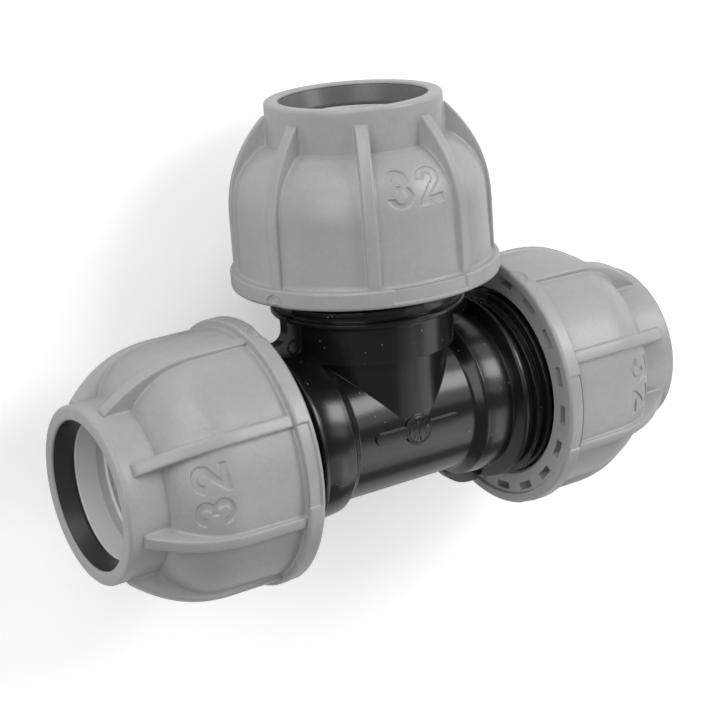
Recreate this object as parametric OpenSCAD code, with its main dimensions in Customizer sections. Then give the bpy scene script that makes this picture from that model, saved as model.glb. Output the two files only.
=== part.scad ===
// Compression tee for 32 mm pipe, lying on its back.
// X runs along the run, Y along the branch, Z up; the floor is at Z = 0.
// Each arm is drawn about its own axis from the crossing of the axes outwards, then turned into place.

/* [Pipe] */
// Outside diameter of the pipe
pipe_d = 32; // [31:0.1:33]
// Radial clearance between pipe and socket
socket_gap = 0.4; // [0.3:0.05:0.6]
// How much wider the rings and the nut mouth are than the socket, on the radius
ring_gap = 0.1; // [0.05:0.05:0.3]
// Inside diameter of the waterway
waterway_d = 26; // [24:0.5:27]

/* [Body] */
// Distance from the crossing of the axes to the mouth of each nut
arm_len = 79.3; // [78.5:0.1:84]
// Outside radius of the run and the branch between the arms
barrel_r = 18.25; // [17.8:0.05:19.2]
// Wall of the socket part of each arm
socket_wall = 4; // [3.8:0.1:4.6]
// Distance from the crossing to the pipe stop
stop_pos = 23.5; // [22.5:0.1:24.5]
// Where the socket part of a run arm reaches its full radius
shoulder_pos = 19.6; // [19:0.1:21]
// Length of the soft rise to that radius
shoulder_rise = 3.2; // [2:0.1:3.6]
// Where the collar of the branch reaches its full radius
collar_pos = 18.8; // [18.5:0.1:20]
// Length of the short rise to that radius
collar_rise = 0.6; // [0.4:0.1:1]
// Distance from the crossing to the stop ring behind the thread
ring_pos = 28.5; // [28.2:0.1:29.2]
// Width of the crest of that ring
ring_w = 1.4; // [1:0.1:1.8]
// Length of the slope up to the ring
ring_slope = 1.2; // [0.8:0.1:1.6]
// How far the ring stays below the crest of the thread
ring_drop = 0.3; // [0.2:0.1:0.6]
// Thickness of the webs in the corners and under the run
web_t = 3; // [2.4:0.1:4]
// Radius of the hollow edge of the corner webs
web_hollow_r = 3; // [2.6:0.1:3.2]
// Distance from both axes to the middle of that hollow
web_hollow_pos = 27.1; // [26.6:0.1:27.5]
// Radius of the round mark that an ejector pin left in each corner web
pin_mark_r = 1.9; // [1.5:0.1:2]
// How far the webs under the run reach from its axis
foot_reach = 24.6; // [24.2:0.1:25]
// Radius of the ramp of the webs under the run
ramp_r = 9.7; // [9:0.1:10.5]
// Length of the raised strip on the front of the run
strip_len = 24.5; // [20:0.5:26]
// Width of the raised strip
strip_w = 2.8; // [2:0.1:3.4]
// Radius of the raised date disc
disc_r = 3.3; // [3:0.1:4]
// Height of the strip and the disc above the barrel
strip_h = 0.5; // [0.2:0.05:0.6]

/* [Thread] */
// Pitch of the thread
pitch = 3.4; // [3.2:0.1:3.5]
// Depth of the thread
thread_depth = 1.7; // [1.4:0.1:1.9]
// Width of the thread at its crest
crest_w = 1; // [0.8:0.1:1.2]
// Width of the thread at its root
root_w = 2.3; // [2:0.1:2.6]
// Wall between the seal seat and the root of the thread
thread_wall = 2.6; // [2.4:0.1:2.8]
// Radial clearance between the thread and the bore of the nut
thread_gap = 0.25; // [0.2:0.05:0.3]
// Steps per turn of the thread
turn_steps = 30; // [24:2:36]

/* [Seal] */
// Thickness of the O-ring
o_ring_d = 3; // [2.8:0.1:3.1]
// Depth of the seal seat in the end of the body
seat_depth = 8.5; // [8:0.1:9]
// Thickness of the flange of the thrust bush
bush_flange_t = 2.4; // [2:0.1:2.8]
// Play between parts that are seated on each other
seat_gap = 0.1; // [0.05:0.01:0.15]

/* [Grip ring] */
// Length of the grip ring
grip_len = 22.2; // [22:0.1:22.4]
// Clearance between the cone of the grip ring and the cone of the nut
cone_gap = 0.25; // [0.2:0.05:0.3]
// Width of the slit that lets the ring close on the pipe
slit_w = 3; // [2:0.1:4]
// Length of the plain front of the grip ring
grip_plain = 5.1; // [4:0.1:8]
// Number of teeth inside the grip ring
teeth = 6; // [4:1:8]
// Depth of the teeth
tooth_h = 0.6; // [0.4:0.05:0.8]
// How much wider the cone of the nut is at its back, on the radius
cone_rise = 5.3; // [4.8:0.1:5.4]
// Length of the black ring in the mouth of the nut
mouth_ring_len = 4.5; // [4.2:0.1:4.6]
// Wall of that ring at its front
mouth_ring_t = 1.1; // [0.9:0.05:1.3]

/* [Nut] */
// How much wider than its bore the mouth opens, on the radius
mouth_flare = 1.2; // [1:0.1:1.4]
// Radius of the rim of the nut
rim_r = 32.4; // [32:0.1:33.5]
// Width of the rim
rim_w = 4.3; // [3.8:0.1:4.8]
// Rounding of the back edge of the rim
rim_round = 0.9; // [0.5:0.1:1.2]
// Length of the nut
nut_len = 43.8; // [43.2:0.1:44.4]
// Wall of the neck of the nut at its mouth
neck_wall = 4.6; // [4.2:0.1:5]
// Rounding of the edge of the neck
neck_round = 0.8; // [0.4:0.1:1.2]
// Length of the straight neck
neck_len = 10.3; // [9.6:0.1:11]
// Number of grip ribs
ribs = 8; // [6:1:9]
// Thickness of a rib
rib_t = 3; // [2.6:0.1:3.4]
// Depth from the mouth at which a rib starts
rib_start = 3.5; // [3:0.1:4.5]
// How far the ribs stay below the rim
rib_drop = 0.95; // [0.8:0.05:1.2]
// How far the panels between the ribs stay below the rim
panel_drop = 2.4; // [2.2:0.1:2.8]
// Number of pockets in the back face
pockets = 18; // [16:1:20]
// Angle that one pocket covers
pocket_angle = 10; // [8:0.5:12]
// Depth of the pockets
pocket_depth = 7.5; // [5:0.1:8]
// Wall of the threaded sleeve inside the pockets
sleeve_wall = 3; // [2.6:0.1:3.2]
// Depth of the blank field in the rim
field_h = 0.5; // [0.2:0.05:0.6]

/* [Hidden] */
$fn = 96;
socket_r = pipe_d / 2 + socket_gap;
mouth_r = socket_r + ring_gap;
waterway_r = waterway_d / 2;
section_r = socket_r + socket_wall;
seat_r = mouth_r + o_ring_d + seat_gap;
root_r = seat_r + thread_wall;
crest_r = root_r + thread_depth;
ring_r = crest_r - ring_drop;
nut_bore_r = crest_r + thread_gap;
neck_r = mouth_r + neck_wall;
opening_r = mouth_r + mouth_flare;
nut_back = arm_len - nut_len;
// depths below are counted from the mouth of the nut
ring_front = 0.6;
grip_front = ring_front + mouth_ring_len + 3 * seat_gap;
grip_back = grip_front + grip_len;
groove_r = opening_r + mouth_ring_t + seat_gap;
cone_front_r = groove_r - 0.3;
cone_back_r = cone_front_r + cone_rise;
cone_slope = (cone_back_r - cone_front_r) / (grip_back - grip_front);
bush_top = arm_len - grip_back - seat_gap;
body_end = bush_top - bush_flange_t - seat_gap;
seat_floor = body_end - seat_depth;
thread_from = ring_pos + ring_w + 1.4;
thread_start = 150;
thread_to = body_end - 1.9;
thread_turns = (thread_to - thread_from) / pitch;
thread_steps = floor(thread_turns * turn_steps);
panel_r = rim_r - panel_drop;
rib_r = rim_r - rib_drop;
strip_pos = 0.6;
web_far = ring_pos + ring_w + 0.3;
pin_mark_pos = section_r + pin_mark_r + 0.2;
pin_mark_depth = 0.2;
body_color = [0.05, 0.05, 0.055];
nut_color = [0.62, 0.62, 0.62];
ring_color = [0.85, 0.85, 0.83];
// angles about each arm at which the first rib of its nut stands
left_turn = 253.9;
right_turn = 248.5;
branch_turn = 240.7;

// radius of a panel of the nut at depth d from the mouth
function panel_at(d) = d >= 27
  ? panel_r + 0.4 * (d - 27) / 12.5
  : panel_r - (panel_r - neck_r - 0.9) * pow((27 - d) / (27 - neck_len), 2.85);
// radius of the back of a rib at depth d from the mouth
function rib_at(d) = d >= 28
  ? rib_r
  : rib_r - (rib_r - neck_r - 0.7) * pow((28 - d) / (28 - rib_start), 2.4);
// share of a soft step that is climbed after the share t of its length
function soft_step(t) = t * t * (3 - 2 * t);
// radius of the crest of the thread at step i, low at both ends
function crest_at(i) = root_r + thread_depth * min(1, (i + 1) / 9, (thread_steps - i + 1) / 9);

// stands the tee, drawn upright in the XZ plane, on its back on the floor
module laid() {
  translate([0, -(arm_len - rim_r) / 2, rim_r])
    rotate([-90, 0, 0])
      children();
}
module left_arm() {
  laid()
    rotate([0, -90, 0])
      children();
}
module right_arm() {
  laid()
    rotate([0, 90, 0])
      children();
}
module branch_arm() {
  laid()
    children();
}

// outside of one arm from the crossing to its open end, without the thread
module arm_outside(full_at, rise) {
  rotate_extrude()
    polygon(concat(
      [[0, 0], [barrel_r, 0]],
      [for (i = [0:8]) [
        barrel_r + (section_r - barrel_r) * soft_step(i / 8),
        full_at - rise + rise * i / 8]],
      [[section_r, ring_pos - ring_slope],
       [ring_r - 0.6, ring_pos - 0.1],
       [ring_r - 0.2, ring_pos + 0.1],
       [ring_r, ring_pos + 0.4],
       [ring_r, ring_pos + ring_w - 0.3],
       [ring_r - 0.3, ring_pos + ring_w],
       [root_r, ring_pos + ring_w],
       [root_r, body_end - 0.8],
       [root_r - 0.8, body_end],
       [0, body_end]]
    ));
}

// waterway, pipe socket and seal seat of one arm
module arm_inside() {
  cylinder(r = waterway_r, h = stop_pos + 1);
  translate([0, 0, stop_pos])
    cylinder(r = socket_r, h = seat_floor - stop_pos + 1);
  translate([0, 0, seat_floor])
    cylinder(r = seat_r, h = seat_depth + 1);
}

// right-hand thread as one helical ridge, fading out at both ends
module thread() {
  sink = 0.4;
  points = [for (i = [0:thread_steps], c = [0:3])
    let (a = i * 360 / turn_steps,
         z = thread_from + pitch * i / turn_steps,
         r = (c == 0 || c == 3) ? root_r - sink : crest_at(i),
         half = (c == 0 || c == 3) ? root_w / 2 : crest_w / 2,
         side = (c < 2) ? -1 : 1)
    [r * cos(a), r * sin(a), z + side * half]];
  sides = [for (i = [0:thread_steps - 1], c = [0:3], half = [0:1])
    let (p = 4 * i + c, q = 4 * i + (c + 1) % 4)
    half == 0 ? [p, q, q + 4] : [p, q + 4, p + 4]];
  last = 4 * thread_steps;
  rotate([0, 0, thread_start])
    polyhedron(points = points, faces = concat(sides,
      [[0, 3, 2], [0, 2, 1]],
      [[last, last + 1, last + 2], [last, last + 2, last + 3]]));
}

// web that fills a corner between the run and the branch, with a hollow outer edge
module corner_web() {
  start = barrel_r - 1.5;
  cut = web_hollow_pos - web_hollow_r;
  rotate([90, 0, 0])
    translate([0, 0, -web_t / 2])
      difference() {
        translate([start, start, 0])
          cube([web_far - start, web_far - start, web_t]);
        translate([web_hollow_pos, web_hollow_pos, -1])
          cylinder(r = web_hollow_r, h = web_t + 2);
        translate([cut, web_hollow_pos, -1])
          cube([web_far, web_far, web_t + 2]);
        translate([web_hollow_pos, cut, -1])
          cube([web_far, web_far, web_t + 2]);
      }
}

// shallow round mark of an ejector pin in the front of a corner web
module pin_mark() {
  translate([pin_mark_pos, -web_t / 2 + pin_mark_depth, pin_mark_pos])
    rotate([90, 0, 0])
      difference() {
        cylinder(r = pin_mark_r, h = 1);
        translate([0, 0, -1])
          cylinder(r = pin_mark_r - 0.4, h = 3);
      }
}

// web under one arm of the run, with a round ramp
module foot_web() {
  start = barrel_r - 2;
  end = ring_pos + 0.1;
  ramp_pos = foot_reach + 1.8;
  rotate([90, 0, 0])
    translate([0, 0, -web_t / 2])
      intersection() {
        translate([start, -foot_reach, 0])
          cube([end - start, foot_reach - start, web_t]);
        union() {
          translate([ramp_pos, -foot_reach + ramp_r, 0])
            cylinder(r = ramp_r, h = web_t);
          translate([ramp_pos, -foot_reach, 0])
            cube([end, foot_reach, web_t]);
          translate([shoulder_pos - 1, -section_r + 0.1, 0])
            cube([end, 5, web_t]);
        }
      }
}

// strip with round ends and the date disc, raised on the front of the run
module strip() {
  intersection() {
    rotate([0, 90, 0])
      cylinder(r = barrel_r + strip_h, h = strip_len + 4, center = true);
    translate([0, 0, strip_pos])
      rotate([90, 0, 0])
        union() {
          translate([-strip_len / 2 + strip_w / 2, -strip_w / 2, 0])
            cube([strip_len - strip_w, strip_w, barrel_r + 2]);
          translate([-strip_len / 2 + strip_w / 2, 0, 0])
            cylinder(d = strip_w, h = barrel_r + 2);
          translate([strip_len / 2 - strip_w / 2, 0, 0])
            cylinder(d = strip_w, h = barrel_r + 2);
          cylinder(r = disc_r, h = barrel_r + 2);
        }
  }
}

module tee_body() {
  color(body_color)
    laid()
      difference() {
        union() {
          rotate([0, -90, 0])
            arm_outside(shoulder_pos, shoulder_rise);
          rotate([0, 90, 0])
            arm_outside(shoulder_pos, shoulder_rise);
          arm_outside(collar_pos, collar_rise);
          rotate([0, -90, 0])
            thread();
          rotate([0, 90, 0])
            thread();
          thread();
          corner_web();
          rotate([0, 0, 180])
            corner_web();
          foot_web();
          rotate([0, 0, 180])
            foot_web();
          strip();
        }
        rotate([0, -90, 0])
          arm_inside();
        rotate([0, 90, 0])
          arm_inside();
        arm_inside();
        pin_mark();
        mirror([1, 0, 0])
          pin_mark();
      }
}

// bell of the nut without its ribs
module nut_bell() {
  rotate_extrude()
    polygon(concat(
      [[0, arm_len]],
      [for (a = [0:22.5:90]) [
        neck_r - neck_round + neck_round * sin(a),
        arm_len - neck_round + neck_round * cos(a)]],
      [[neck_r, arm_len - neck_len + 0.5]],
      [for (i = [0:12]) let (d = neck_len + (27 - neck_len) * i / 12) [panel_at(d), arm_len - d]],
      [[panel_at(nut_len - rim_w), nut_back + rim_w],
       [rim_r - 0.3, nut_back + rim_w],
       [rim_r, nut_back + rim_w - 0.3]],
      [for (a = [0:22.5:90]) [
        rim_r - rim_round + rim_round * cos(a),
        nut_back + rim_round - rim_round * sin(a)]],
      [[0, nut_back]]
    ));
}

// one rib, a curved fin from the neck to the rim
module nut_rib() {
  in_r = cone_back_r + 0.5;
  rotate([90, 0, 0])
    linear_extrude(height = rib_t, center = true)
      polygon(concat(
        [[neck_r - 2, arm_len - rib_start], [rib_at(rib_start), arm_len - rib_start]],
        [for (i = [1:14]) let (d = rib_start + (28 - rib_start) * i / 14) [rib_at(d), arm_len - d]],
        [[rib_r, nut_back + 1], [in_r, nut_back + 1], [in_r, arm_len - 22], [neck_r - 2, arm_len - neck_len]]
      ));
}

// hollow of the nut: mouth, groove of the black ring, cone of the grip ring and threaded bore
module nut_hollow() {
  rotate_extrude()
    polygon([
      [0, arm_len + 1],
      [opening_r + 0.4, arm_len + 1],
      [opening_r + 0.4, arm_len],
      [opening_r, arm_len - 0.35],
      [opening_r, arm_len - ring_front],
      [groove_r, arm_len - ring_front],
      [groove_r, arm_len - ring_front - mouth_ring_len - 2 * seat_gap],
      [cone_front_r, arm_len - ring_front - mouth_ring_len - 2 * seat_gap],
      [cone_front_r, arm_len - grip_front],
      [cone_back_r, arm_len - grip_back],
      [nut_bore_r, arm_len - grip_back - 1],
      [nut_bore_r, nut_back + 0.6],
      [nut_bore_r + 0.6, nut_back],
      [nut_bore_r + 0.6, nut_back - 1],
      [0, nut_back - 1]
    ]);
}

// pockets in the back face of the nut
module nut_pockets() {
  for (k = [0:pockets - 1])
    rotate([0, 0, 360 * k / pockets + 2])
      translate([0, 0, nut_back - 1])
        rotate_extrude(angle = pocket_angle)
          translate([nut_bore_r + sleeve_wall, 0])
            square([rim_r - 3.4 - nut_bore_r - sleeve_wall, pocket_depth + 1]);
}

module nut() {
  difference() {
    union() {
      nut_bell();
      for (k = [0:ribs - 1])
        rotate([0, 0, 360 * k / ribs])
          nut_rib();
    }
    nut_hollow();
    nut_pockets();
    translate([0, 0, nut_back + 1])
      rotate([0, 0, 7.5])
        rotate_extrude(angle = 360 / ribs - 10)
          translate([rim_r - field_h, 0])
            square([2, rim_w]);
  }
}

// black ring in the mouth of the nut, which narrows from the opening to the bore
module mouth_ring() {
  front = arm_len - ring_front - seat_gap;
  back = front - mouth_ring_len;
  rotate_extrude()
    polygon([
      [mouth_r, back],
      [groove_r - seat_gap, back],
      [groove_r - seat_gap, front],
      [opening_r - seat_gap, front],
      [mouth_r, back + 0.6]
    ]);
}

// split grip ring: conical outside, toothed inside
module grip_ring() {
  long = grip_back - grip_front;
  in_r = mouth_r;
  step = (long - grip_plain - 1) / teeth;
  difference() {
    rotate_extrude()
      polygon(concat(
        [[in_r + 0.3, arm_len - grip_front], [cone_front_r - cone_gap, arm_len - grip_front],
         [cone_back_r - cone_gap, arm_len - grip_back + 0.4], [cone_back_r - cone_gap - 0.4, arm_len - grip_back],
         [in_r + tooth_h, arm_len - grip_back]],
        [for (k = [0:teeth - 1], c = [0:1])
          c == 0
            ? [in_r + tooth_h, arm_len - grip_back + 1 + step * k]
            : [in_r, arm_len - grip_back + 1 + step * (k + 0.85)]],
        [[in_r, arm_len - grip_front - 0.3]]
      ));
    rotate([0, 0, 270])
      translate([0, -slit_w / 2, bush_top - 1])
        cube([40, slit_w, long + 4]);
  }
}

// thrust bush: a nose that presses on the O-ring and a flange on the end of the body
module thrust_bush() {
  nose_low = seat_floor + o_ring_d + 2 * seat_gap;
  difference() {
    union() {
      translate([0, 0, nose_low])
        cylinder(r = seat_r - seat_gap, h = bush_top - nose_low);
      translate([0, 0, body_end + seat_gap])
        cylinder(r = root_r - 0.8, h = bush_flange_t);
    }
    translate([0, 0, nose_low - 1])
      cylinder(r = mouth_r, h = bush_top - nose_low + 2);
  }
}

module o_ring() {
  translate([0, 0, seat_floor + seat_gap / 2 + o_ring_d / 2])
    rotate_extrude()
      translate([mouth_r + o_ring_d / 2 + seat_gap / 2, 0])
        circle(d = o_ring_d, $fn = 48);
}

module left_nut() {
  color(nut_color)
    left_arm()
      rotate([0, 0, left_turn])
        nut();
}
module left_mouth_ring() {
  color(body_color)
    left_arm()
      mouth_ring();
}
module left_grip_ring() {
  color(ring_color)
    left_arm()
      grip_ring();
}
module left_thrust_bush() {
  color(body_color)
    left_arm()
      thrust_bush();
}
module left_o_ring() {
  color(body_color)
    left_arm()
      o_ring();
}

module right_nut() {
  color(nut_color)
    right_arm()
      rotate([0, 0, right_turn])
        nut();
}
module right_mouth_ring() {
  color(body_color)
    right_arm()
      mouth_ring();
}
module right_grip_ring() {
  color(ring_color)
    right_arm()
      grip_ring();
}
module right_thrust_bush() {
  color(body_color)
    right_arm()
      thrust_bush();
}
module right_o_ring() {
  color(body_color)
    right_arm()
      o_ring();
}

module branch_nut() {
  color(nut_color)
    branch_arm()
      rotate([0, 0, branch_turn])
        nut();
}
module branch_mouth_ring() {
  color(body_color)
    branch_arm()
      mouth_ring();
}
module branch_grip_ring() {
  color(ring_color)
    branch_arm()
      grip_ring();
}
module branch_thrust_bush() {
  color(body_color)
    branch_arm()
      thrust_bush();
}
module branch_o_ring() {
  color(body_color)
    branch_arm()
      o_ring();
}

tee_body();
left_nut();
left_mouth_ring();
left_grip_ring();
left_thrust_bush();
left_o_ring();
right_nut();
right_mouth_ring();
right_grip_ring();
right_thrust_bush();
right_o_ring();
branch_nut();
branch_mouth_ring();
branch_grip_ring();
branch_thrust_bush();
branch_o_ring();
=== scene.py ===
import bpy, math
import numpy as np
from mathutils import Vector, Matrix


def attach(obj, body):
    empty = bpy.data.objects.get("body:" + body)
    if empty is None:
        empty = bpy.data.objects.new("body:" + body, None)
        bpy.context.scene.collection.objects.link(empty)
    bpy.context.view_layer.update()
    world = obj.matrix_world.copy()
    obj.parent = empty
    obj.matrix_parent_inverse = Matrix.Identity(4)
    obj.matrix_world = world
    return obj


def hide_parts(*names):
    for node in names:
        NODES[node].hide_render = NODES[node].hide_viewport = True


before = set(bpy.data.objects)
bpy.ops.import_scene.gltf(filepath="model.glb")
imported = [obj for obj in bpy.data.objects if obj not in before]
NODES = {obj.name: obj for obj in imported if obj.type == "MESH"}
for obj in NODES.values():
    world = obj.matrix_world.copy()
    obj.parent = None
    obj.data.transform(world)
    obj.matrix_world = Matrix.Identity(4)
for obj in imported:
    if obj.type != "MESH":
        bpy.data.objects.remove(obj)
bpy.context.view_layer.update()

# sizes in millimetres; those that the part's source has too are the same there
ARM = 79.3
NUT_LEN = 43.8
RIM_R = 32.4
RIM_W = 4.3
RIM_ROUND = 0.9
RIM_EDGE = 0.45
RIM_FOOT = 0.6
NECK_R = 21.1
NECK_LEN = 10.3
NECK_ROUND = 0.8
OPENING_R = 17.7
OPENING_ROUND = 0.4
GROOVE_R = 18.9
GROOVE = (0.6, 5.3)
CONE_FRONT_R = 18.6
CONE_BACK_R = 23.9
CONE = (5.4, 27.6)
NUT_BORE_R = 24.15
POCKET_R = (27.15, 29.0)
POCKET_DEPTH = 7.5
BACK_STEP = 0.8
BACK_LIP_R = 29.7
PANEL_R = 30.0
PANEL_FULL = 27
RIB_R = 31.45
RIB_T = 3.0
RIB_START = 3.5
RIB_FULL = 28
FIELD_H = 0.5
MARK_DEPTH = 0.46
MARK_POS = 18.4
GATE_ANGLES = (90, 315)
DISC_R = 3.9
BARREL_R = 18.25
STRIP_POS = 0.6
SOCKET_R = 20.4
SOCKET_SPAN = (19.1, 27.5)
CROWN_SUNK = 0.12
CROWN = 0.38
SHIFT = -(ARM - RIM_R) / 2
TURN = {"left": 253.9, "right": 248.5, "branch": 240.7}
ARMS = ("left", "right", "branch")


def placed(arm, pts):
    """points of an arm, drawn outwards along its own axis in mm, to the row frame in metres"""
    p = np.asarray(pts, float).reshape(-1, 3)
    a, b, c = p[:, 0], p[:, 1], p[:, 2]
    if arm == "left":
        x, y, z = -c, b, a
    elif arm == "right":
        x, y, z = c, b, -a
    else:
        x, y, z = a, b, c
    return np.stack([x, z + SHIFT, -y + RIM_R], 1) * 0.001


# modelling helpers
def clear():
    if bpy.context.object and bpy.context.object.mode != "OBJECT":
        bpy.ops.object.mode_set(mode="OBJECT")
    bpy.ops.object.select_all(action="DESELECT")


def pick(*objs):
    clear()
    for o in objs:
        o.select_set(True)
    bpy.context.view_layer.objects.active = objs[0]


def verts_of(o):
    n = len(o.data.vertices)
    v = np.empty(n * 3)
    o.data.vertices.foreach_get("co", v)
    return v.reshape(-1, 3)


def set_verts(o, v):
    o.data.vertices.foreach_set("co", np.asarray(v, float).ravel())
    o.data.update()


def edit(o, mode="VERT"):
    pick(o)
    bpy.ops.object.mode_set(mode="EDIT")
    bpy.ops.mesh.select_mode(type=mode)
    bpy.ops.mesh.select_all(action="DESELECT")


def done():
    bpy.ops.object.mode_set(mode="OBJECT")


# the nuts
def panel_at(d):
    """radius of the bell between its ribs at depth d from the mouth"""
    if d <= NECK_LEN - 0.5:
        return NECK_R
    if d >= PANEL_FULL:
        return PANEL_R + 0.4 * (d - PANEL_FULL) / 12.5
    r = PANEL_R - (PANEL_R - NECK_R - 0.9) * ((PANEL_FULL - d) / (PANEL_FULL - NECK_LEN)) ** 2.85
    if d >= NECK_LEN + 0.6:
        return r
    # a small hollow round where the bell leaves the neck
    return max(NECK_R, r - 0.9 * max(0.0, 1 - (d - NECK_LEN + 0.5) / 1.1))


def rib_at(d):
    """radius of the back of a rib at depth d"""
    if d < RIB_START:
        return 0.0
    if d >= RIB_FULL:
        return RIB_R
    return RIB_R - (RIB_R - NECK_R - 0.7) * ((RIB_FULL - d) / (RIB_FULL - RIB_START)) ** 2.4


def soft(t):
    """0 to 1 with soft ends"""
    t = np.clip(t, 0, 1)
    return t * t * (3 - 2 * t)


def nut_rows():
    """(depth, radius between the ribs, share of the ribs' height) from the mouth to the back face"""
    rows = [(NECK_ROUND * (1 - math.cos(a)), NECK_R - NECK_ROUND + NECK_ROUND * math.sin(a), 0)
            for a in np.radians([0, 18, 36, 54, 72, 90])]
    rows += [(d, NECK_R, 0) for d in (1.6, 2.6, 3.2, RIB_START - 0.02)]
    # the blunt tip of a rib, rounded
    rows += [(RIB_START, NECK_R, 0.35), (RIB_START + 0.08, NECK_R, 0.7), (RIB_START + 0.25, NECK_R, 0.92),
             (RIB_START + 0.5, NECK_R, 1.0)]
    rows += [(d, NECK_R, 1) for d in np.linspace(RIB_START + 1, NECK_LEN - 0.7, 8)]
    rows += [(d, panel_at(d), 1) for d in np.concatenate([
        np.linspace(NECK_LEN - 0.4, NECK_LEN + 1.2, 9), np.linspace(11.9, 13.3, 5),
        np.arange(13.5, 22.5, 0.17), np.arange(22.8, 25.4, 0.35), np.linspace(25.8, 38.4, 14)])]
    e = NUT_LEN - RIM_W
    top = panel_at(e)
    # hollow round into the front face of the rim, its front edge, and the edge at the back
    rows += [(e - RIM_FOOT + RIM_FOOT * math.sin(a), top + RIM_FOOT - RIM_FOOT * math.cos(a), 1)
             for a in np.radians([15, 35, 55, 75])]
    rows += [(e, top + 0.7, 1), (e, RIM_R - 0.5, 0)]
    rows += [(e + RIM_EDGE - RIM_EDGE * math.cos(a), RIM_R - RIM_EDGE + RIM_EDGE * math.sin(a), 0)
             for a in np.radians([20, 45, 70, 90])]
    rows += [(e + k, RIM_R, 0) for k in [0.8, 1.0] + list(np.arange(1.15, RIM_W - RIM_ROUND - 0.05, 0.15))]
    rows += [(NUT_LEN - RIM_ROUND + RIM_ROUND * math.sin(a), RIM_R - RIM_ROUND + RIM_ROUND * math.cos(a), 0)
             for a in np.radians([0, 15, 30, 45, 60, 75, 90])]
    return rows


def in_ellipse(x, y, cx, cy, rx, ry):
    """about how many mm a point lies inside an ellipse"""
    return (1 - np.hypot((x - cx) / rx, (y - cy) / ry)) * (rx + ry) / 2


def in_bar(x, y, x0, y0, x1, y1, half):
    """how many mm a point lies inside a bar with flat ends"""
    long = math.hypot(x1 - x0, y1 - y0)
    ux, uy = (x1 - x0) / long, (y1 - y0) / long
    s = (x - x0) * ux + (y - y0) * uy
    t = (y - y0) * ux - (x - x0) * uy
    return np.minimum(half - np.abs(t), np.minimum(s, long - s))


def figure_three(x, y):
    upper = np.minimum(in_ellipse(x, y, -4.03, 2.55, 2.87, 2.02), -in_ellipse(x, y, -4.1, 2.4, 1.02, 0.9))
    upper = np.where(x < -4.1, np.minimum(upper, y - 2.5 + 0.2 * (x + 6)), upper)
    upper = np.where((x < -3.3) & (y < 1.6), -1.0, upper)
    lower = np.minimum(in_ellipse(x, y, -3.85, -1.0, 3.1, 2.56), -in_ellipse(x, y, -3.9, -1.05, 1.32, 1.45))
    lower = np.where(x < -3.9, np.minimum(lower, -1.25 - y), lower)
    lower = np.where((x < -3.3) & (y > 0.2), -1.0, lower)
    stem = in_bar(x, y, -4.5, 0.7, -2.2, 0.85, 0.6)
    return np.maximum(np.maximum(upper, lower), stem)


def figure_two(x, y):
    bowl = np.minimum(in_ellipse(x, y, 3.8, 2.2, 3.2, 2.2), -in_ellipse(x, y, 3.78, 2.2, 1.18, 1.05))
    cut = np.where(x < 3.78, y - 2.25 + 0.17 * (x - 1.6), y - 0.9 + 0.9 * (6.4 - x))
    bowl = np.minimum(bowl, cut)
    neck = np.maximum(in_bar(x, y, 6.15, 1.75, 3.3, -0.55, 0.76), in_bar(x, y, 3.75, -0.2, 1.35, -2.75, 0.72))
    foot = in_bar(x, y, 0.75, -2.6, 7.15, -2.3, 0.82)
    foot = np.minimum(foot, x - 0.7 - 0.35 * (y + 3.2))
    return np.maximum(np.maximum(bowl, neck), foot)


def size_mark(x, y):
    """depth in mm of the sunk size mark 32; x to the right, y up, in mm from its middle"""
    inside = np.maximum(figure_three(x, y), figure_two(x, y))
    return MARK_DEPTH * soft((inside + 0.2) / 0.4)


def gate_mark(side, rise):
    """depth of the sunk arch, with a ring and a dot in it, at the back edge of the rim under a rib"""
    arch = 2.6 - np.hypot(side, np.maximum(rise - 0.5, 0))
    knob = np.hypot(side, rise - 1.75)
    raised = np.maximum(soft(1.15 - np.abs(knob - 0.9) / 0.26), soft(1.2 - knob / 0.3))
    return 0.34 * soft(arch / 0.3) - 0.2 * raised * (arch > 0.3)


def nut_column_plan():
    """one entry a column: (sector, kind, value); kinds: t = top of a rib, c = its rounded corner,
    s = its side, f = the hollow round at its foot, p = panel"""
    plan = []
    tops, corners, feet = (0.2, 0.4, 0.6, 0.8, 1.0), (0.25, 0.5, 0.75, 1.0), (0.25, 0.5, 0.75)
    for k in range(8):
        many = 112 if k == 0 else 14
        plan += [(k, "t", v) for v in (0.0,) + tops] + [(k, "c", v) for v in corners]
        plan += [(k, "s", 0.5)] + [(k, "f", v) for v in (0.0,) + feet]
        plan += [(k, "p", v) for v in np.linspace(0, 1, many + 1)]
        plan += [(k, "f", -v) for v in feet[::-1] + (1e-9,)] + [(k, "s", -0.5)]
        plan += [(k, "c", -v) for v in corners[::-1]] + [(k, "t", -v) for v in tops[::-1]]
    plan.append((8, "t", 0.0))
    return plan


def rim_angles(plan):
    """angle of each column in the rim, where the columns of a rib are spread out for the marks there"""
    reach = 2.9 / RIM_R
    out = []
    side = sum(1 for k, kind, v in plan if k == 0 and kind != "p" and v >= 0)
    step = reach / side
    count = 0
    for k, kind, v in plan:
        if kind == "p":
            out.append(math.radians(45 * k) + reach + (math.radians(45) - 2 * reach) * v)
            count = side
        elif v < 0:
            count -= 1
            out.append(math.radians(45 * (k + 1)) - step * count)
        else:
            count = 0 if kind == "t" and v == 0 else count + 1
            out.append(math.radians(45 * k) + step * count)
    return np.array(out)


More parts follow.
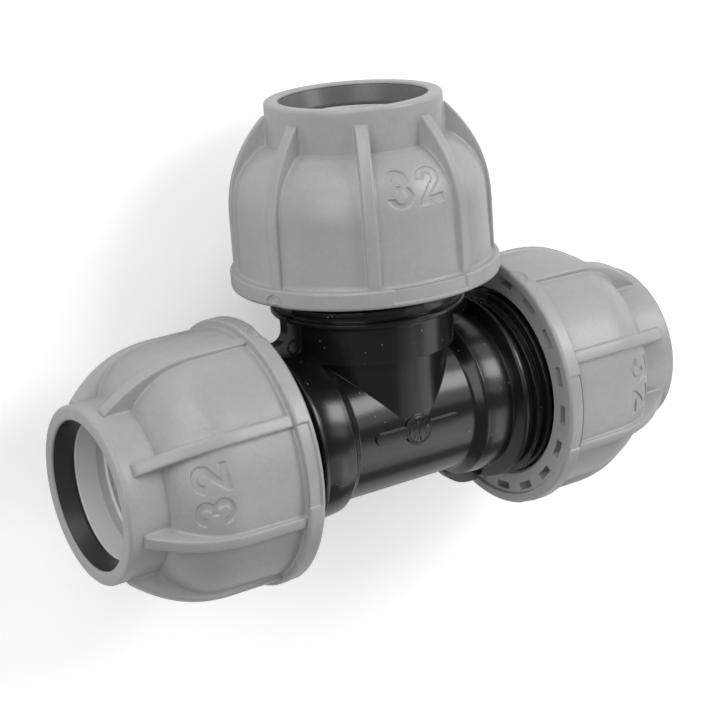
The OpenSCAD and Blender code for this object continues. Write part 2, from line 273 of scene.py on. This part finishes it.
def nut_section(plan, base, top, grow):
    """the outline at one depth as x, y: a circle of radius base with ribs that reach top"""
    high = max(top - base, 0.0) * grow
    half = RIB_T / 2
    out = []
    if high < 0.05:
        # no rib here: the same columns, spread along a circle
        edge = math.asin((half + 0.62) / base)
        for k, kind, v in plan:
            u = abs(v)
            if kind == "p":
                a = math.radians(45 * k) + edge + (math.radians(45) - 2 * edge) * v
            else:
                s = {"t": 0.75 * half * u, "c": half * (0.75 + 0.25 * u),
                     "s": half + 0.06, "f": half + 0.12 + 0.5 * u}[kind]
                lean = math.asin(s / base)
                a = math.radians(45 * (k + 1)) - lean if v < 0 else math.radians(45 * k) + lean
            out.append((base * math.cos(a), base * math.sin(a)))
        return np.array(out)
    top = base + high
    corner = min(0.55, 0.42 * high)
    foot = min(0.7, 0.42 * high)
    crest = top - 0.1 * ((half - corner) / half) ** 2
    cf = math.sqrt((base + foot) ** 2 - (half + foot) ** 2)
    a_foot = math.atan2(half + foot, cf)
    turn = math.atan2(cf, half + foot)
    for k, kind, v in plan:
        side, u = (-1 if v < 0 else 1), abs(v)
        if kind == "p":
            a = math.radians(45 * k) + a_foot + (math.radians(45) - 2 * a_foot) * v
            out.append((base * math.cos(a), base * math.sin(a)))
            continue
        if kind == "t":
            s = u * (half - corner)
            r = top - 0.1 * (s / half) ** 2
        elif kind == "c":
            b = math.radians(90 * u)
            s, r = half - corner + corner * math.sin(b), crest - corner + corner * math.cos(b)
        elif kind == "s":
            s, r = half + 0.02, (cf + crest - corner) / 2
        else:
            # from the side of the rib, u = 0, round to the panel, u = 1
            b = math.pi + turn * u
            s, r = half + foot + foot * math.cos(b), cf + foot * math.sin(b)
        ang = math.radians(45 * (k + (1 if side < 0 else 0)))
        c, n = math.cos(ang), math.sin(ang)
        out.append((r * c - side * s * n, r * n + side * s * c))
    return np.array(out)


def nut_outside(name):
    """the ribbed bell, its rim, the sunk mark 32 and the blank field, as a grid shaped row by row"""
    rows, plan = nut_rows(), nut_column_plan()
    nr, nc = len(rows), len(plan)
    clear()
    bpy.ops.mesh.primitive_grid_add(x_subdivisions=nc - 1, y_subdivisions=nr - 1, size=1)
    o = bpy.context.object
    o.name = name
    v = verts_of(o)
    col = np.rint((v[:, 0] + 0.5) * (nc - 1)).astype(int)
    row = np.rint((v[:, 1] + 0.5) * (nr - 1)).astype(int)
    pts = np.zeros((nr, nc, 3))
    spread = rim_angles(plan)
    for i, (d, base, grow) in enumerate(rows):
        if d >= NUT_LEN - RIM_W and grow == 0:
            pts[i, :, 0], pts[i, :, 1] = base * np.cos(spread), base * np.sin(spread)
        else:
            pts[i, :, :2] = nut_section(plan, base, rib_at(d), grow)
        pts[i, :, 2] = ARM - d
    ang = np.degrees(np.arctan2(pts[..., 1], pts[..., 0])) % 360
    rad = np.hypot(pts[..., 0], pts[..., 1])
    dep = ARM - pts[..., 2]
    rim = (dep >= NUT_LEN - RIM_W + 0.3) | ((dep >= NUT_LEN - RIM_W) & (rad > RIM_R - 0.4))
    # the sunk size mark, upright towards the mouth, on the panel between the first two ribs
    panel = (ang > 3) & (ang < 42) & (dep > 12) & (dep < 24)
    cut = np.where(panel, size_mark(np.radians(ang - 22.5) * rad, MARK_POS - dep), 0)
    # the blank field in the rim, short of its back edge
    field = soft((ang - 7.2) / 0.6) * soft((42.8 - ang) / 0.6) * soft((NUT_LEN - 0.95 - dep) / 0.3)
    cut = cut + np.where(rim, FIELD_H * field, 0)
    for middle in GATE_ANGLES:
        mark = gate_mark(np.radians(ang - middle) * RIM_R, NUT_LEN - dep)
        cut = cut + np.where(rim & (np.abs(ang - middle) < 6), mark, 0)
    k = (rad - cut) / rad
    pts[..., 0] *= k
    pts[..., 1] *= k
    set_verts(o, pts[row, col])
    edit(o)
    bpy.ops.mesh.select_all(action="SELECT")
    bpy.ops.mesh.remove_doubles(threshold=0.002)
    bpy.ops.mesh.normals_make_consistent(inside=False)
    done()
    return o


def nut_inside(name):
    """mouth, groove, cone, bore and back face, spun from one profile, with the pockets pushed in"""
    # inside its lip the back face lies a little deeper
    back = NUT_LEN - BACK_STEP
    # radius and depth from the mouth
    prof = [(NECK_R - NECK_ROUND - 0.5, 0), (19.0, 0)]
    prof += [(OPENING_R + OPENING_ROUND * (1 - math.sin(a)), OPENING_ROUND * (1 - math.cos(a)))
             for a in np.radians([0, 30, 60, 90])]
    prof += [(OPENING_R, GROOVE[0]), (GROOVE_R, GROOVE[0]), (GROOVE_R, GROOVE[1]), (CONE_FRONT_R, GROOVE[1]),
             (CONE_FRONT_R, CONE[0]), (CONE_BACK_R, CONE[1]), (NUT_BORE_R, CONE[1] + 1),
             (NUT_BORE_R, back - 0.6), (NUT_BORE_R + 0.6, back), (POCKET_R[0], back), (POCKET_R[1], back),
             (BACK_LIP_R, back), (BACK_LIP_R + 0.15, NUT_LEN - 0.15), (BACK_LIP_R + 0.3, NUT_LEN),
             (RIM_R - RIM_ROUND - 0.5, NUT_LEN)]
    clear()
    bpy.ops.mesh.primitive_circle_add(vertices=len(prof), radius=1)
    o = bpy.context.object
    o.name = name
    # the ring of points is opened into the profile
    last = [e.index for e in o.data.edges if set(e.vertices) == {0, len(prof) - 1}]
    set_verts(o, np.array([(r, 0, ARM - d) for r, d in prof]))
    edit(o, "EDGE")
    done()
    o.data.edges[last[0]].select = True
    pick(o)
    bpy.ops.object.mode_set(mode="EDIT")
    bpy.ops.mesh.delete(type="EDGE_FACE")
    bpy.ops.mesh.select_all(action="SELECT")
    bpy.ops.mesh.spin(steps=180, angle=2 * math.pi, center=(0, 0, 0), axis=(0, 0, 1))
    bpy.ops.mesh.select_all(action="SELECT")
    bpy.ops.mesh.remove_doubles(threshold=0.002)
    bpy.ops.mesh.normals_make_consistent(inside=False)
    bpy.ops.mesh.select_all(action="DESELECT")
    bpy.ops.mesh.select_mode(type="FACE")
    done()
    for p in o.data.polygons:
        c = p.center
        r, a = math.hypot(c.x, c.y), math.degrees(math.atan2(c.y, c.x)) % 20
        p.select = abs(c.z - ARM + back) < 0.01 and POCKET_R[0] < r < POCKET_R[1] and 2 < a < 12
    pick(o)
    bpy.ops.object.mode_set(mode="EDIT")
    bpy.ops.mesh.extrude_region_move(TRANSFORM_OT_translate={"value": (0, 0, POCKET_DEPTH - BACK_STEP)})
    done()
    return o


def make_nut(arm):
    shell, inner = nut_outside(arm + "_nut_moulding"), nut_inside(arm + "_nut_inner")
    pick(shell, inner)
    bpy.ops.object.join()
    o = bpy.context.object
    # the two open shells are closed by flat rings of faces at the mouth and at the back
    for depth in (0, NUT_LEN):
        edit(o, "EDGE")
        bpy.ops.mesh.select_non_manifold(extend=False, use_wire=False, use_boundary=True,
                                         use_multi_face=False, use_non_contiguous=False, use_verts=False)
        done()
        v = verts_of(o)
        for e in o.data.edges:
            e.select = bool(e.select and abs(v[e.vertices[0], 2] - ARM + depth) < 0.01)
        bpy.ops.object.mode_set(mode="EDIT")
        bpy.ops.mesh.fill(use_beauty=False)
        done()
    edit(o, "FACE")
    bpy.ops.mesh.select_all(action="SELECT")
    bpy.ops.mesh.normals_make_consistent(inside=False)
    done()
    v = verts_of(o)
    a = math.radians(TURN[arm])
    v[:, :2] = v[:, :2] @ np.array([[math.cos(a), math.sin(a)], [-math.sin(a), math.cos(a)]])
    set_verts(o, placed(arm, v))
    o.data.name = o.name
    pick(o)
    bpy.ops.object.shade_smooth_by_angle(angle=math.radians(38))
    return o


# the date disc on the front of the run
def disc_height(x, y):
    """height in mm over the barrel: a flat disc with a sunk bar in the middle and marks round it"""
    r = np.hypot(x, y)
    h = 0.54 - 0.14 * soft(1.2 - np.abs(r - 3.25) / 0.16)
    h = h - 0.34 * soft(1.3 - np.abs(x + 0.35 - 0.1 * y) / 0.26) * soft((1.5 - np.abs(y)) / 0.3)
    for i in range(12):
        a = math.radians(30 * i + 8)
        s, t = x * math.cos(a) + y * math.sin(a), y * math.cos(a) - x * math.sin(a)
        mark = soft(1.2 - np.abs(t) / 0.24) * soft((0.55 - np.abs(s - 2.35)) / 0.2)
        h = h + (-0.24 if i % 3 else 0.12) * mark
    return h


def make_date_disc():
    many, wide = 96, DISC_R
    clear()
    bpy.ops.mesh.primitive_grid_add(x_subdivisions=many, y_subdivisions=many, size=2)
    o = bpy.context.object
    o.name = "date_disc"
    v = verts_of(o)
    # the square grid is drawn in to a round one
    x = v[:, 0] * np.sqrt(1 - v[:, 1] ** 2 / 2) * wide
    y = v[:, 1] * np.sqrt(1 - v[:, 0] ** 2 / 2) * wide
    up = disc_height(x, y) - 0.15 * soft((np.hypot(x, y) - wide + 0.2) / 0.2) ** 2
    y = y + STRIP_POS
    a = np.arcsin(y / (BARREL_R + 0.5))
    r = BARREL_R + up
    set_verts(o, np.stack([x, r * np.sin(a) + SHIFT, r * np.cos(a) + RIM_R], 1) * 0.001)
    edit(o, "FACE")
    bpy.ops.mesh.select_all(action="SELECT")
    bpy.ops.mesh.normals_make_consistent(inside=False)
    done()
    wall = o.modifiers.new("wall", "SOLIDIFY")
    wall.thickness = 0.0008
    wall.offset = -1
    pick(o)
    bpy.ops.object.modifier_apply(modifier="wall")
    bpy.ops.object.shade_smooth_by_angle(angle=math.radians(40))
    return o


# the two sockets of the run
def make_crown(arm):
    """the slightly crowned outside of a socket, which lies over the straight one"""
    low, high = SOCKET_SPAN
    clear()
    bpy.ops.mesh.primitive_cylinder_add(vertices=48, radius=SOCKET_R, depth=high - low,
                                        end_fill_type="NOTHING")
    o = bpy.context.object
    o.name = arm + "_socket_crown"
    edit(o)
    bpy.ops.mesh.select_all(action="SELECT")
    bpy.ops.mesh.subdivide(number_cuts=9)
    done()
    v = verts_of(o)
    t = 2 * v[:, 2] / (high - low)
    a = np.arctan2(v[:, 1], v[:, 0])
    r = SOCKET_R - CROWN_SUNK + CROWN * (1 - t ** 2)
    set_verts(o, placed(arm, np.stack([r * np.cos(a), r * np.sin(a), low + (t + 1) / 2 * (high - low)], 1)))
    edit(o, "FACE")
    bpy.ops.mesh.select_all(action="SELECT")
    bpy.ops.mesh.normals_make_consistent(inside=False)
    done()
    wall = o.modifiers.new("wall", "SOLIDIFY")
    wall.thickness = 0.001
    wall.offset = -1
    pick(o)
    bpy.ops.object.modifier_apply(modifier="wall")
    bpy.ops.object.shade_smooth_by_angle(angle=math.radians(40))
    return o


# materials
class N:
    """a socket with operators, so that shader maths reads as plain expressions"""

    def __init__(self, mat, socket):
        self.mat, self.s = mat, socket

    def _op(self, op, other, flip=False):
        a, b = (other, self) if flip else (self, other)
        return self.mat.node("ShaderNodeMath", {"operation": op}, a, b)

    def __add__(self, o):
        return self._op("ADD", o)

    def __radd__(self, o):
        return self._op("ADD", o, True)

    def __sub__(self, o):
        return self._op("SUBTRACT", o)

    def __rsub__(self, o):
        return self._op("SUBTRACT", o, True)

    def __mul__(self, o):
        return self._op("MULTIPLY", o)

    def __rmul__(self, o):
        return self._op("MULTIPLY", o, True)

    def __gt__(self, o):
        return self._op("GREATER_THAN", o)

    def __lt__(self, o):
        return self._op("LESS_THAN", o)


class Finish:
    """one material: its shader and the nodes that feed it"""

    def __init__(self, name, color, rough, **fixed):
        self.m = bpy.data.materials.new(name)
        self.m.use_nodes = True
        self.t = self.m.node_tree
        self.b = self.t.nodes["Principled BSDF"]
        self.b.inputs["Base Color"].default_value = (*color, 1)
        self.b.inputs["Roughness"].default_value = rough
        for k, v in fixed.items():
            self.b.inputs[k.replace("_", " ")].default_value = v
        self.coord = N(self, self.t.nodes.new("ShaderNodeTexCoord").outputs["Object"])

    def put(self, socket, v):
        if isinstance(v, N):
            self.t.links.new(v.s, socket)
        elif isinstance(v, tuple) and len(v) == 3 and socket.type == "RGBA":
            socket.default_value = (*v, 1)
        else:
            socket.default_value = v

    def node(self, kind, settings, *values, out=0, **named):
        n = self.t.nodes.new(kind)
        for k, v in settings.items():
            if k == "stops":
                r = n.color_ramp
                while len(r.elements) < len(v):
                    r.elements.new(0.5)
                for e, (p, c) in zip(r.elements, v):
                    e.position = p
                    e.color = (*c, 1) if isinstance(c, tuple) else (c, c, c, 1)
            else:
                setattr(n, k, v)
        for i, v in enumerate(values):
            self.put(n.inputs[i], v)
        for k, v in named.items():
            self.put(n.inputs[k.replace("_", " ")], v)
        return N(self, n.outputs[out])

    def noise(self, scale, detail=2.0, rough=0.5):
        return self.node("ShaderNodeTexNoise", {}, Vector=self.coord, Scale=scale, Detail=detail,
                         Roughness=rough)

    def ramp(self, fac, *stops):
        return self.node("ShaderNodeValToRGB", {"stops": stops}, fac)

    def between(self, fac, a, b):
        n = self.t.nodes.new("ShaderNodeMix")
        n.data_type = "RGBA"
        self.put(n.inputs[0], fac)
        self.put(n.inputs[6], a)
        self.put(n.inputs[7], b)
        return N(self, n.outputs[2])

    def lines(self, scale, width, where, turn, stretch=0.12):
        """thin lines that mostly run one way, in patches"""
        lay = self.node("ShaderNodeMapping", {}, Vector=self.coord, Rotation=turn,
                        Scale=(scale, scale, scale * stretch))
        wave = self.node("ShaderNodeTexNoise", {}, Vector=lay, Scale=1.0, Detail=1.0, Roughness=0.4)
        line = self.node("ShaderNodeMath", {"operation": "ABSOLUTE"}, wave - 0.5) < width
        return line * (self.noise(where, 1, 0.5) > 0.58)

    def bump(self, height, strength, distance, edge=None):
        """relief, and with edge= the edges of the solid rounded off by that radius"""
        named = {"Strength": strength, "Distance": distance, "Height": height}
        if edge:
            named["Normal"] = self.node("ShaderNodeBevel", {"samples": 6}, Radius=edge)
        self.set("Normal", self.node("ShaderNodeBump", {}, **named))

    def set(self, socket, v):
        self.put(self.b.inputs[socket], v)


def grey_moulding():
    """pale grey plastic with faint flow marks, pits and handling scratches"""
    f = Finish("grey nut moulding", (0.38, 0.38, 0.377), 0.42, Specular_IOR_Level=0.6)
    flow = f.noise(70, 4, 0.62)
    cloud = f.noise(420, 3, 0.6)
    fine = f.noise(2200, 2, 0.5)
    scratch = f.lines(900, 0.008, 110, (0.7, 0.4, 0.3))
    tone = f.between(f.ramp(flow, (0.3, 0.0), (0.7, 1.0)), (0.374, 0.374, 0.372), (0.4, 0.4, 0.397))
    tone = f.between(f.ramp(cloud, (0.44, 0.0), (0.66, 0.5)), tone, (0.352, 0.352, 0.35))
    grain = f.noise(1300, 2, 0.7)
    tone = f.between(f.ramp(grain, (0.35, 0.0), (0.7, 0.45)), tone, (0.335, 0.335, 0.332))
    f.set("Base Color", f.between(scratch * 0.22, tone, (0.5, 0.5, 0.495)))
    f.set("Roughness", 0.25 + 0.1 * flow + 0.06 * cloud)
    f.bump(fine * 0.4 + grain * 0.6 + cloud * 0.5 + flow * 0.5 - scratch * 0.3, 0.34, 0.00016)
    return f.m


def black_moulding():
    """glossy black plastic with softened edges, faint ripples and pale dust"""
    f = Finish("black body moulding", (0.008, 0.008, 0.009), 0.2, Specular_IOR_Level=0.5)
    flow = f.noise(45, 3, 0.6)
    ripple = f.noise(190, 2, 0.5)
    fine = f.noise(1500, 2, 0.5)
    dust = f.node("ShaderNodeTexVoronoi", {"feature": "F1"}, Vector=f.coord, Scale=520.0, Randomness=1.0)
    where = f.noise(210, 2, 0.6)
    speck = (dust < 0.1) * (where > 0.56)
    tone = f.between(flow, (0.006, 0.006, 0.007), (0.011, 0.011, 0.012))
    f.set("Base Color", f.between(speck, tone, (0.2, 0.2, 0.195)))
    f.set("Roughness", 0.16 + 0.1 * flow + speck * 0.4)
    f.bump(fine * 0.25 + ripple * 0.5 + flow * 0.9 + speck * 0.5, 0.22, 0.00014, edge=0.00035)
    return f.m


def black_ring(name, tone):
    f = Finish(name, (tone, tone, tone), 0.35)
    fine = f.noise(900, 2, 0.5)
    low, high = 0.88 * tone, 1.12 * tone
    f.set("Base Color", f.between(fine, (low, low, low), (high, high, high)))
    f.bump(fine, 0.2, 0.0001)
    return f.m


def white_ring():
    f = Finish("white grip moulding", (0.74, 0.74, 0.73), 0.4)
    flow = f.noise(120, 2, 0.5)
    f.set("Base Color", f.between(flow, (0.70, 0.70, 0.69), (0.78, 0.78, 0.77)))
    f.bump(flow, 0.15, 0.0001)
    return f.m


def seal_rubber():
    f = Finish("seal rubber", (0.015, 0.015, 0.015), 0.6)
    fine = f.noise(1500, 2, 0.5)
    f.set("Roughness", 0.5 + 0.2 * fine)
    f.bump(fine, 0.2, 0.0001)
    return f.m


GREY, BLACK, WHITE, SEAL = grey_moulding(), black_moulding(), white_ring(), seal_rubber()
# the black ring in the upper mouth is a lighter copy of the same black: painted light, standing in for the
# light that falls into that mouth
RING, RING_PAINTED_LIGHTER = black_ring("black ring moulding", 0.032), black_ring("black ring moulding painted lighter", 0.125)


def paint(o, m):
    o.data.materials.clear()
    o.data.materials.append(m)


paint(NODES["tee_body"], BLACK)
for arm in ARMS:
    # the branch's mouth ring gets the lighter copy of the black, painted light
    paint(NODES[arm + "_mouth_ring"], RING_PAINTED_LIGHTER if arm == "branch" else RING)
    paint(NODES[arm + "_grip_ring"], WHITE)
    paint(NODES[arm + "_thrust_bush"], RING)
    paint(NODES[arm + "_o_ring"], SEAL)
    nut = make_nut(arm)
    paint(nut, GREY)
    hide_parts(arm + "_nut")
    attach(nut, arm + "_union")
disc = make_date_disc()
paint(disc, BLACK)
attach(disc, "body")
for arm in ("left", "right"):
    crown = make_crown(arm)
    paint(crown, BLACK)
    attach(crown, "body")


# floor, light and camera
def stage():
    clear()
    bpy.ops.mesh.primitive_plane_add(size=6, location=(0, 0, -0.0002))
    o = bpy.context.object
    o.name = "studio_floor"
    m = bpy.data.materials.new("studio floor")
    m.use_nodes = True
    t = m.node_tree
    b = t.nodes["Principled BSDF"]
    b.inputs["Base Color"].default_value = (0.86, 0.86, 0.86, 1)
    b.inputs["Roughness"].default_value = 0.9
    b.inputs["Specular IOR Level"].default_value = 0.1
    path = t.nodes.new("ShaderNodeLightPath")
    b.inputs["Emission Color"].default_value = (1, 1, 1, 1)
    # only the camera sees the floor's own glow, so it lights nothing
    glow = t.nodes.new("ShaderNodeMath")
    glow.operation = "MULTIPLY"
    glow.inputs[1].default_value = 0.42
    t.links.new(path.outputs["Is Camera Ray"], glow.inputs[0])
    t.links.new(glow.outputs[0], b.inputs["Emission Strength"])
    o.data.materials.append(m)


def lamp(name, direction, dist, size, radiance, length=None, along=(0, 0, 1)):
    """a soft box facing the fitting, of a given brightness as seen in a reflection"""
    d = Vector(direction).normalized()
    data = bpy.data.lights.new(name, "AREA")
    data.shape = "RECTANGLE"
    data.size, data.size_y = size, length or size
    data.energy = radiance * math.pi * data.size * data.size_y
    o = bpy.data.objects.new(name, data)
    bpy.context.scene.collection.objects.link(o)
    up = Vector(along)
    up = (up - d * up.dot(d)).normalized()
    across = up.cross(d)
    place = Vector((0, 0, 0.03)) + d * dist
    o.matrix_world = Matrix(((across.x, up.x, d.x, place.x), (across.y, up.y, d.y, place.y),
                             (across.z, up.z, d.z, place.z), (0, 0, 0, 1)))


stage()
# the three key boxes stand side by side along this line
ARC = (0.04, 0.63, -0.55)
lamp("key_box_low", (0.52, 0.22, 0.83), 1.1, 0.42, 1.3, length=0.36, along=ARC)
lamp("key_box", (0.55, 0.5, 0.66), 1.1, 0.42, 7.9, length=0.40, along=ARC)
lamp("key_box_high", (0.56, 0.74, 0.36), 1.1, 0.42, 1.4, length=0.40, along=ARC)
lamp("front_box_left", (0.34, -0.55, 0.75), 1.1, 0.5, 0.85, length=0.7, along=(0, 0.6, 0.6))
lamp("front_box_right", (0.71, -0.5, 0.46), 1.1, 0.75, 1.3, length=0.8, along=(0, 0.6, 0.6))
lamp("left_box", (-0.8, 0.3, 0.5), 1.3, 0.9, 2.3)
lamp("back_box", (-0.35, 0.85, 0.4), 1.3, 0.9, 2.0)
lamp("right_box", (0.95, 0.25, 0.15), 1.3, 0.7, 1.15)
world = bpy.data.worlds.new("studio")
bpy.context.scene.world = world
world.use_nodes = True
world.node_tree.nodes["Background"].inputs[0].default_value = (1, 1, 1, 1)
world.node_tree.nodes["Background"].inputs[1].default_value = 0.21

# the camera, as fitted to the photograph of 720 pixels
PHOTO_WIDTH = 720
FOCAL_PIXELS = 1950.243
cam = bpy.data.cameras.new("camera")
cam.sensor_width = 36
cam.lens = FOCAL_PIXELS / PHOTO_WIDTH * 36
cam.clip_start, cam.clip_end = 0.01, 20
camera = bpy.data.objects.new("camera", cam)
bpy.context.scene.collection.objects.link(camera)
right, up, back = (0.8292, -0.0711, 0.5544), (0.2224, 0.9520, -0.2105), (-0.5128, 0.2978, 0.8052)
camera.matrix_world = Matrix((
    (right[0], up[0], back[0], -0.24682),
    (right[1], up[1], back[1], 0.15601 + SHIFT * 0.001),
    (right[2], up[2], back[2], 0.38218 + RIM_R * 0.001),
    (0, 0, 0, 1)))
bpy.context.scene.camera = camera
bpy.context.scene.view_settings.view_transform = "Standard"
